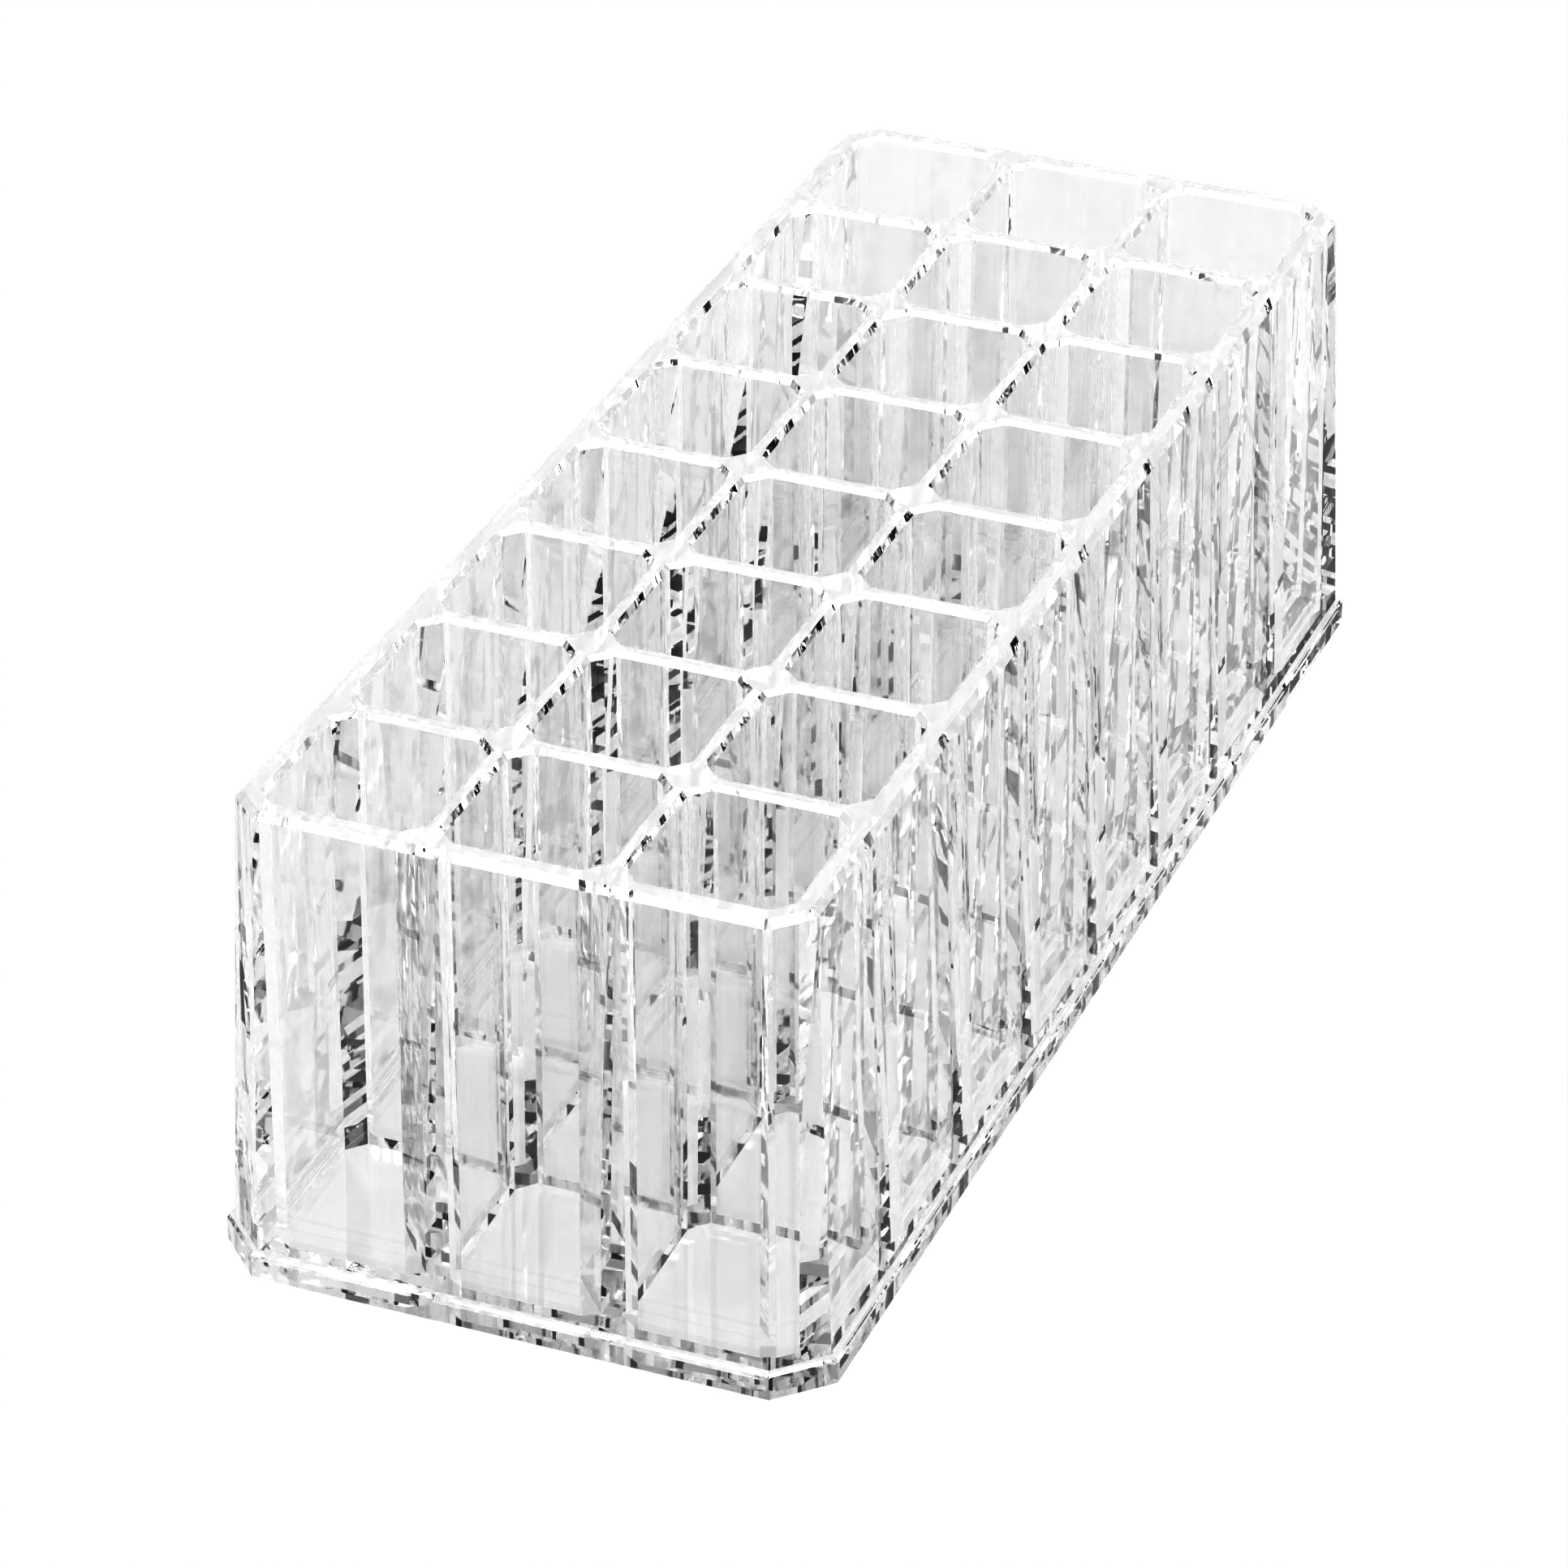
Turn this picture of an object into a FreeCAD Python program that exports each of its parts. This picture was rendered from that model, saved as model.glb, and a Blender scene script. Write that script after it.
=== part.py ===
import FreeCAD, Part
import math
import os

# Clear plastic vanity organizer: a block of nearly square upright cells, open at the top.
# A flat base tray carries four mitred walls, and two long dividers and the cross dividers
# are halved together like an egg crate. Every cell corner has a small upright gusset, and the cells
# narrow a little towards the floor, so walls and dividers are thicker at the foot than at the rim.
# Frame: origin at the middle of the underside, +X across, +Y along towards the rear, +Z up.

# Driving sizes in millimetres
cell_width = 23.1
cell_length = 25.2
column_count = 3
row_count = 8
cell_draft = 0.4
divider_thickness = 2.8
wall_thickness = 3.8
overall_height = 72.0
gusset_leg = 2.6
wall_lean_width = 2.8
floor_thickness = 2.5
rim_height = 1.5
flange_width = 1.0
groove_depth = 1.0
mouth_bevel = 0.7
rim_bevel = 1.0
flange_bevel = 0.4
cut_overrun = 5.0
halving_share = 0.5

# Sizes that follow from them
pitch_across = cell_width + divider_thickness
pitch_along = cell_length + divider_thickness
divider_foot = divider_thickness + 2 * cell_draft
half_foot = divider_foot / 2
inner_width = column_count * pitch_across - divider_thickness
inner_length = row_count * pitch_along - divider_thickness
rim_width = inner_width + 2 * wall_thickness
rim_length = inner_length + 2 * wall_thickness
groove_level = floor_thickness - groove_depth
flange_height = floor_thickness + rim_height
halving_level = groove_level + halving_share * (overall_height - groove_level)
mouth_level = overall_height - mouth_bevel

# How much a 45 degree corner's leg grows for each millimetre that its outline grows
corner_growth_share = 2 - math.sqrt(2)
rim_corner_leg = gusset_leg + wall_thickness * corner_growth_share


def middles(count, pitch):
    """Places of count things in a row, one pitch apart and centred on zero."""
    return [(i - (count - 1) / 2) * pitch for i in range(count)]


long_places = middles(column_count - 1, pitch_across)
cross_places = middles(row_count - 1, pitch_along)


def outline(width, length, corner_leg, growth, level, centre=(0, 0)):
    """The points of a rectangle with its corners cut at 45 degrees, grown outwards by growth."""
    half_x = width / 2 + growth
    half_y = length / 2 + growth
    leg = corner_leg + growth * corner_growth_share
    corners = [
        (half_x, half_y - leg),
        (half_x - leg, half_y),
        (leg - half_x, half_y),
        (-half_x, half_y - leg),
        (-half_x, leg - half_y),
        (leg - half_x, -half_y),
        (half_x - leg, -half_y),
        (half_x, leg - half_y),
    ]
    return [FreeCAD.Vector(centre[0] + x, centre[1] + y, level) for x, y in corners]


def flat_face(points):
    """A flat face inside a closed row of points."""
    return Part.Face(Part.makePolygon(points + points[:1]))


def stacked(outlines):
    """A solid with flat sides from each outline to the next one above it."""
    faces = [flat_face(outlines[0]), flat_face(outlines[-1])]
    for lower, upper in zip(outlines, outlines[1:]):
        for i in range(len(lower)):
            faces.append(flat_face([lower[i - 1], lower[i], upper[i], upper[i - 1]]))
    return Part.Solid(Part.Shell(faces))


def block(low, high):
    """A rectangular block between two opposite corners."""
    size = [b - a for a, b in zip(low, high)]
    return Part.makeBox(*size, FreeCAD.Vector(*low))


def upright(points):
    """A prism over a plan outline, taller than the whole object at both ends."""
    corners = [FreeCAD.Vector(x, y, -cut_overrun) for x, y in points]
    return flat_face(corners).extrude(FreeCAD.Vector(0, 0, overall_height + 2 * cut_overrun))


def trimmed(shape, tools):
    """The shape less those tools that come near it."""
    return shape.cut([tool for tool in tools if tool.BoundBox.intersect(shape.BoundBox)])


def cell_space(x, y):
    """The space in one cell: an octagon that narrows downwards and flares at its mouth."""
    def section(growth, level):
        return outline(cell_width, cell_length, gusset_leg, growth, level, (x, y))

    return stacked([
        section(-cell_draft, floor_thickness),
        section(0, mouth_level),
        section(2 * mouth_bevel, overall_height + mouth_bevel),
    ])


def cross_strip(y):
    """The plain strip that a cross divider is cut from."""
    return block((-inner_width / 2, y - half_foot, groove_level),
                 (inner_width / 2, y + half_foot, overall_height))


def long_strip(x):
    """The plain strip that a long divider is cut from."""
    return block((x - half_foot, -inner_length / 2, groove_level),
                 (x + half_foot, inner_length / 2, overall_height))


def cross_divider(y, cells):
    """A strip slotted from below, where it straddles the long dividers."""
    slots = [
        block((x - half_foot, y - divider_foot, groove_level - cut_overrun),
              (x + half_foot, y + divider_foot, halving_level))
        for x in long_places
    ]
    return trimmed(cross_strip(y).cut(slots), cells)


def long_divider(x, cells):
    """A strip slotted from above, with gussets that flank each cross divider."""
    reach = half_foot + gusset_leg
    gussets = [
        block((x - reach, min(inner, outer), floor_thickness), (x + reach, max(inner, outer), overall_height))
        for y in cross_places
        for inner, outer in ((y + half_foot, y + reach), (y - half_foot, y - reach))
    ]
    slots = [
        block((x - divider_foot, y - half_foot, halving_level),
              (x + divider_foot, y + half_foot, overall_height + cut_overrun))
        for y in cross_places
    ]
    return trimmed(long_strip(x).fuse(gussets).cut(slots), cells)


def rim_outline(growth, level):
    """The outline of the rim, grown outwards by growth."""
    return outline(rim_width, rim_length, rim_corner_leg, growth, level)


def outer_block():
    """The walls' outer form, filled in: it leans out towards the foot and its rim is bevelled."""
    lean_at_bevel = wall_lean_width * rim_bevel / (overall_height - floor_thickness)
    return stacked([
        rim_outline(wall_lean_width, floor_thickness),
        rim_outline(lean_at_bevel, overall_height - rim_bevel),
        rim_outline(-rim_bevel, overall_height),
    ])


def wall_ring(cells, strips):
    """All four walls as one ring, with the gussets that flank the dividers' ends."""
    clear_x = inner_width / 2 - cell_draft - gusset_leg
    clear_y = inner_length / 2 - cell_draft - gusset_leg
    middle = block((-clear_x, -clear_y, floor_thickness - cut_overrun),
                   (clear_x, clear_y, overall_height + cut_overrun))
    return trimmed(trimmed(outer_block().cut(middle), cells), strips)


def mitre_regions():
    """Plan regions that part the ring along the bisectors of its corners, by wall name."""
    depth = wall_thickness + cell_draft + gusset_leg + cut_overrun
    out_x = rim_width / 2 + cut_overrun
    out_y = rim_length / 2 + cut_overrun
    in_x = rim_width / 2 - depth
    in_y = rim_length / 2 - depth
    return {
        "front_wall": [(-out_x, -out_y), (out_x, -out_y), (in_x, -in_y), (-in_x, -in_y)],
        "rear_wall": [(out_x, out_y), (-out_x, out_y), (-in_x, in_y), (in_x, in_y)],
        "left_wall": [(-out_x, out_y), (-out_x, -out_y), (-in_x, -in_y), (-in_x, in_y)],
        "right_wall": [(out_x, -out_y), (out_x, out_y), (in_x, in_y), (in_x, -in_y)],
    }


def base_tray(strips):
    """The floor and its proud flange, rebated for the walls' feet and grooved for the dividers."""
    reach = wall_lean_width + flange_width
    slab = stacked([
        rim_outline(reach, 0),
        rim_outline(reach, flange_height - flange_bevel),
        rim_outline(reach - flange_bevel, flange_height),
    ])
    return trimmed(slab.cut(outer_block()), strips)


def organizer():
    """Every piece of the organizer by its name."""
    columns = middles(column_count, pitch_across)
    rows = middles(row_count, pitch_along)
    cells = [cell_space(x, y) for x in columns for y in rows]
    strips = [cross_strip(y) for y in cross_places] + [long_strip(x) for x in long_places]
    ring = wall_ring(cells, strips)
    pieces = {"base_tray": base_tray(strips)}
    for name, region in mitre_regions().items():
        pieces[name] = ring.common(upright(region))
    for number, x in enumerate(long_places, 1):
        pieces[f"long_divider_{number}"] = long_divider(x, cells)
    for number, y in enumerate(cross_places, 1):
        pieces[f"cross_divider_{number}"] = cross_divider(y, cells)
    return pieces


os.makedirs("parts", exist_ok=True)
for name, shape in organizer().items():
    piece = shape.removeSplitter()
    print(name, len(piece.Solids), "solid", round(piece.Volume, 1), "mm3")
    piece.exportStep(f"parts/{name}.step")
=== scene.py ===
import math

import bpy
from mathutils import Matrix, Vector


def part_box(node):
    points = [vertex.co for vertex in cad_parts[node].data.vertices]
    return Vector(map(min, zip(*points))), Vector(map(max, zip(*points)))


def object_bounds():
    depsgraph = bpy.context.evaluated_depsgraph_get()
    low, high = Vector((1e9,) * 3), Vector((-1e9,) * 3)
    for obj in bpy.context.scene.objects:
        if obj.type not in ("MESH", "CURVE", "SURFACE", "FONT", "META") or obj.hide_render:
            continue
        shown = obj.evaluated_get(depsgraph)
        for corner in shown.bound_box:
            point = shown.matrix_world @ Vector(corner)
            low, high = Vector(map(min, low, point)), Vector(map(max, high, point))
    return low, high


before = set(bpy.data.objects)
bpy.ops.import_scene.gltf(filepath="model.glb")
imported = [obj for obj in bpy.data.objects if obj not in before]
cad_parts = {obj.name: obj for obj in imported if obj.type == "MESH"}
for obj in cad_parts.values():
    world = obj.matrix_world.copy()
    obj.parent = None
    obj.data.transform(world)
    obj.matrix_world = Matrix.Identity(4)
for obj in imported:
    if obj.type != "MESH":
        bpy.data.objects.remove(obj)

# Clear plastic vanity organizer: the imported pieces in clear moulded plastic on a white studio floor.
# All lengths here are in metres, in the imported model's own frame.

cad_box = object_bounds()
MM = 0.001

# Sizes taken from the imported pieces
top_level = cad_box[1][2]
floor_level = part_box("front_wall")[0][2]
flange_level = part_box("base_tray")[1][2]
groove_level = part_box("cross_divider_1")[0][2]
cross_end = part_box("cross_divider_1")[1][0]
long_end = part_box("long_divider_1")[1][1]

long_names = sorted(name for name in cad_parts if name.startswith("long_divider"))
cross_names = sorted(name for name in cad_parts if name.startswith("cross_divider"))
wall_names = sorted(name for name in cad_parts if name.endswith("_wall"))


def middle(name, axis):
    """The middle of a node's box along one axis."""
    low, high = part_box(name)
    return (low[axis] + high[axis]) / 2


pitch_across = middle(long_names[1], 0) - middle(long_names[0], 0)
pitch_along = middle(cross_names[1], 1) - middle(cross_names[0], 1)
divider_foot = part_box("cross_divider_1")[1][1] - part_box("cross_divider_1")[0][1]
gusset_reach = (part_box("long_divider_1")[1][0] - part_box("long_divider_1")[0][0]) / 2

# The camera, as fitted to the photograph
view_azimuth = math.radians(21.822)
view_elevation = math.radians(30.874)
view_distance = 0.8369
view_target = Vector((0.02544, -0.08139, 0.072))
lens_length = 145.5
sensor_width = 36.0


def camera_place():
    """Where the camera stands."""
    direction = Vector((
        math.sin(view_azimuth) * math.cos(view_elevation),
        -math.cos(view_azimuth) * math.cos(view_elevation),
        math.sin(view_elevation),
    ))
    return view_target + view_distance * direction


def put(tree, socket, value):
    """Links a socket to a value that is a socket, or sets it to a plain value."""
    if isinstance(value, bpy.types.NodeSocket):
        tree.links.new(value, socket)
    else:
        socket.default_value = value


def calculate(tree, operation, *values):
    """A math node on sockets or numbers."""
    node = tree.nodes.new("ShaderNodeMath")
    node.operation = operation
    for socket, value in zip(node.inputs, values):
        put(tree, socket, value)
    return node.outputs[0]


def both(tree, first, second):
    """1 where two masks are both 1."""
    return calculate(tree, "MULTIPLY", first, second)


def either(tree, first, second):
    """1 where one of two masks is 1."""
    return calculate(tree, "MAXIMUM", first, second)


def below(tree, value, limit):
    """1 where a value is less than a limit."""
    return calculate(tree, "LESS_THAN", value, limit)


def above(tree, value, limit):
    """1 where a value is more than a limit."""
    return calculate(tree, "GREATER_THAN", value, limit)


def ramp(tree, value, low, high, start=0.0, end=1.0):
    """A smooth step from start to end, while a value goes from low to high."""
    node = tree.nodes.new("ShaderNodeMapRange")
    node.interpolation_type = "SMOOTHSTEP"
    put(tree, node.inputs["Value"], value)
    node.inputs["From Min"].default_value = low
    node.inputs["From Max"].default_value = high
    node.inputs["To Min"].default_value = start
    node.inputs["To Max"].default_value = end
    return node.outputs[0]


def surface_place(tree):
    """The position's three sockets and how far the surface faces up or down, from 0 to 1."""
    geometry = tree.nodes.new("ShaderNodeNewGeometry")
    position = tree.nodes.new("ShaderNodeSeparateXYZ")
    normal = tree.nodes.new("ShaderNodeSeparateXYZ")
    tree.links.new(geometry.outputs["Position"], position.inputs[0])
    tree.links.new(geometry.outputs["True Normal"], normal.inputs[0])
    facing = calculate(tree, "ABSOLUTE", normal.outputs[2])
    return position.outputs, facing


# A face is upright or level within these limits of how far it faces up; drafted faces lie between
upright_limit = 0.002
level_limit = 0.99
lean_limits = (0.02, 0.2)
level_slack = 0.02 * MM


def hidden_faces(tree, position, facing):
    """1 on true upright faces and on level faces below the rim, which only occur inside joints."""
    upright = below(tree, facing, upright_limit)
    under_rim = below(tree, position[2], top_level - level_slack)
    return either(tree, upright, both(tree, above(tree, facing, level_limit), under_rim))


def leaning_faces(tree, facing):
    """1 on faces that lean like the walls' outer faces."""
    return both(tree, above(tree, facing, lean_limits[0]), below(tree, facing, lean_limits[1]))


def divider_bond(tree):
    """1 on the faces of a divider that are bonded to a neighbour."""
    position, facing = surface_place(tree)
    return hidden_faces(tree, position, facing)


def wall_bond(tree):
    """1 on the faces of a wall that are bonded to the base, a divider or the next wall."""
    position, facing = surface_place(tree)
    foot = both(tree, leaning_faces(tree, facing), below(tree, position[2], flange_level))
    return either(tree, hidden_faces(tree, position, facing), foot)


def in_cell(tree, position):
    """1 over the floors of the cells, which are rectangles with cut corners."""
    half_across = (pitch_across - divider_foot) / 2
    half_along = (pitch_along - divider_foot) / 2
    corner_leg = gusset_reach - divider_foot / 2
    across = calculate(tree, "PINGPONG", position[0], pitch_across / 2)
    shifted = calculate(tree, "ADD", position[1], pitch_along / 2)
    along = calculate(tree, "PINGPONG", shifted, pitch_along / 2)
    diagonal = calculate(tree, "ADD", across, along)
    inside = both(tree, below(tree, across, half_across), below(tree, along, half_along))
    return both(tree, inside, below(tree, diagonal, half_across + half_along - corner_leg))


def base_bond(tree):
    """1 on the faces of the base that are bonded to the walls' feet and the dividers."""
    position, facing = surface_place(tree)
    raised = above(tree, position[2], groove_level - level_slack)
    on_floor = both(tree, raised, below(tree, position[2], floor_level + level_slack))
    outside = calculate(tree, "SUBTRACT", 1.0, in_cell(tree, position))
    joint = both(tree, both(tree, above(tree, facing, level_limit), on_floor), outside)
    inner_across = below(tree, calculate(tree, "ABSOLUTE", position[0]), cross_end + MM)
    inner_along = below(tree, calculate(tree, "ABSOLUTE", position[1]), long_end + MM)
    groove = both(tree, below(tree, facing, upright_limit), both(tree, inner_across, inner_along))
    return either(tree, either(tree, joint, leaning_faces(tree, facing)), groove)


# The plastic
plastic_ior = 1.49
wall_tints = ((0.986, 0.986, 0.9865, 1.0), (0.968, 0.968, 0.9685, 1.0))
# The base's tints are darker than the walls': painted shadow for the shade the organizer would cast on the
# floor seen through its base, on top of the plastic's own haze tint
base_tints_with_painted_shadow = ((0.966, 0.966, 0.9665, 1.0), (0.938, 0.938, 0.9385, 1.0))
roughness_range = (0.0, 0.06)
wave_scale = 30.0
wave_detail = 1.0
wave_height = 0.12 * MM
scuff_scale = 900.0
scuff_detail = 2.0
scuff_stretch = (1.0, 1.0, 0.04)
scuff_height = 0.0006 * MM
haze_scale = 55.0
haze_detail = 4.0

# Between which noise values the haze tints the plastic, and haze and scuffs together roughen it
tint_edges = (0.35, 0.7)
haze_edges = (0.3, 0.75)
scuff_edges = (0.3, 0.7)
rough_edges = (0.4, 1.0)

# A colour mix node's sockets by number, since several share a name
mix_factor = 0
mix_colours = (6, 7)
mix_result = 2


def noise(tree, scale, detail, stretch=(1.0, 1.0, 1.0)):
    """A noise over the object's own coordinates, stretched along an axis where its factor is small."""
    place = tree.nodes.new("ShaderNodeTexCoord")
    mapping = tree.nodes.new("ShaderNodeMapping")
    mapping.inputs["Scale"].default_value = stretch
    tree.links.new(place.outputs["Object"], mapping.inputs["Vector"])
    node = tree.nodes.new("ShaderNodeTexNoise")
    node.inputs["Scale"].default_value = scale
    node.inputs["Detail"].default_value = detail
    tree.links.new(mapping.outputs["Vector"], node.inputs["Vector"])
    return node.outputs["Fac"]


def bump(tree, height, distance, below_normal=None):
    """A bump of a given height in metres, on top of another bump if there is one."""
    node = tree.nodes.new("ShaderNodeBump")
    node.inputs["Distance"].default_value = distance
    tree.links.new(height, node.inputs["Height"])
    if below_normal is not None:
        tree.links.new(below_normal, node.inputs["Normal"])
    return node.outputs["Normal"]


def moulded_finish(tree, shader, tints):
    """A moulding's own unevenness: slow waves, upright scuffs and faint patches of haze."""
    haze = noise(tree, haze_scale, haze_detail)
    scuffs = noise(tree, scuff_scale, scuff_detail, scuff_stretch)
    waves = noise(tree, wave_scale, wave_detail)
    blend = tree.nodes.new("ShaderNodeMix")
    blend.data_type = "RGBA"
    for socket, tint in zip(mix_colours, tints):
        blend.inputs[socket].default_value = tint
    tree.links.new(ramp(tree, haze, *tint_edges), blend.inputs[mix_factor])
    tree.links.new(blend.outputs[mix_result], shader.inputs["Base Color"])
    cloudy = both(tree, ramp(tree, haze, *haze_edges), ramp(tree, scuffs, *scuff_edges))
    tree.links.new(ramp(tree, cloudy, *rough_edges, *roughness_range), shader.inputs["Roughness"])
    wavy = bump(tree, waves, wave_height)
    tree.links.new(bump(tree, scuffs, scuff_height, wavy), shader.inputs["Normal"])


def clear_plastic(name, bond, tints):
    """Clear plastic whose bonded faces let light straight through, so that joints don't show."""
    material = bpy.data.materials.new(name)
    material.use_nodes = True
    tree = material.node_tree
    shader = tree.nodes["Principled BSDF"]
    shader.inputs["IOR"].default_value = plastic_ior
    shader.inputs["Transmission Weight"].default_value = 1.0
    moulded_finish(tree, shader, tints)
    through = tree.nodes.new("ShaderNodeBsdfTransparent")
    mix = tree.nodes.new("ShaderNodeMixShader")
    put(tree, mix.inputs[0], bond(tree))
    tree.links.new(shader.outputs[0], mix.inputs[1])
    tree.links.new(through.outputs[0], mix.inputs[2])
    tree.links.new(mix.outputs[0], tree.nodes["Material Output"].inputs["Surface"])
    return material


def dress_nodes():
    """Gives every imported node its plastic, and keeps its shadow off the floor as in the photograph."""
    divider_plastic = clear_plastic("clear_plastic_divider", divider_bond, wall_tints)
    wall_plastic = clear_plastic("clear_plastic_wall", wall_bond, wall_tints)
    base_plastic = clear_plastic("clear_plastic_base", base_bond, base_tints_with_painted_shadow)
    for name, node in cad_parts.items():
        if name == "base_tray":
            plastic = base_plastic
        elif name in wall_names:
            plastic = wall_plastic
        else:
            plastic = divider_plastic
        node.data.materials.clear()
        node.data.materials.append(plastic)
        node.visible_shadow = False
        node.visible_diffuse = False


def matt(name, colour):
    """A plain matt material for the stage."""
    material = bpy.data.materials.new(name)
    material.use_nodes = True
    shader = material.node_tree.nodes["Principled BSDF"]
    shader.inputs["Base Color"].default_value = colour
    shader.inputs["Roughness"].default_value = 1.0
    shader.inputs["Specular IOR Level"].default_value = 0.0
    return material


# The stage
floor_gap = 0.2 * MM
floor_size = 20.0
floor_colour = (0.9, 0.9, 0.9, 1.0)


def add_floor():
    """A plain white studio floor, a hair below the object's underside."""
    half = floor_size / 2
    mesh = bpy.data.meshes.new("floor")
    corners = [(-half, -half, 0), (half, -half, 0), (half, half, 0), (-half, half, 0)]
    mesh.from_pydata(corners, [], [(0, 1, 2, 3)])
    mesh.materials.append(matt("floor_white", floor_colour))
    floor = bpy.data.objects.new("floor", mesh)
    floor.location = (0, 0, -floor_gap)
    bpy.context.scene.collection.objects.link(floor)


# The studio's brightness, and between which shares of straight up or straight back its lights fade in or out
room_level = 0.08
ring_level = 2.97
ring_edges = (0.72, 0.82)
opening_edges = (0.92, 0.97)
backdrop_level = 1.0
backdrop_edges = (0.45, 0.65)


def add_world():
    """A dark studio with a ring of soft light overhead and a white backdrop behind the object."""
    world = bpy.data.worlds.new("studio")
    bpy.context.scene.world = world
    world.use_nodes = True
    tree = world.node_tree
    place = tree.nodes.new("ShaderNodeTexCoord")
    split = tree.nodes.new("ShaderNodeSeparateXYZ")
    tree.links.new(place.outputs["Generated"], split.inputs[0])
    ring = ramp(tree, split.outputs[2], *ring_edges, 0.0, ring_level)
    overhead = both(tree, ring, ramp(tree, split.outputs[2], *opening_edges, 1.0, 0.0))
    rearward_x = calculate(tree, "MULTIPLY", split.outputs[0], -math.sin(view_azimuth))
    rearward_y = calculate(tree, "MULTIPLY", split.outputs[1], math.cos(view_azimuth))
    rearward = calculate(tree, "ADD", rearward_x, rearward_y)
    backdrop = ramp(tree, rearward, *backdrop_edges, 0.0, backdrop_level)
    light = calculate(tree, "ADD", either(tree, overhead, backdrop), room_level)
    background = tree.nodes["Background"]
    background.inputs["Color"].default_value = (1.0, 1.0, 1.0, 1.0)
    tree.links.new(light, background.inputs["Strength"])


def add_camera():
    """The camera at the photograph's viewing angle."""
    data = bpy.data.cameras.new("camera")
    data.lens = lens_length
    data.sensor_width = sensor_width
    camera = bpy.data.objects.new("camera", data)
    camera.location = camera_place()
    camera.rotation_euler = (view_target - camera_place()).to_track_quat("-Z", "Y").to_euler()
    bpy.context.scene.collection.objects.link(camera)
    bpy.context.scene.camera = camera


# How far light is followed through plastic, floor and joints, and the display
light_bounces = 48
floor_bounces = 1
joint_passes = 64
display_gamma = 0.37


def set_light_paths():
    """Enough bounces for light to leave the block of cells again, and the photograph's hard contrast."""
    scene = bpy.context.scene
    scene.view_settings.view_transform = "Standard"
    scene.view_settings.gamma = display_gamma
    scene.cycles.max_bounces = light_bounces
    scene.cycles.transmission_bounces = light_bounces
    scene.cycles.glossy_bounces = light_bounces
    scene.cycles.diffuse_bounces = floor_bounces
    scene.cycles.transparent_max_bounces = joint_passes


dress_nodes()
add_floor()
add_world()
add_camera()
set_light_paths()
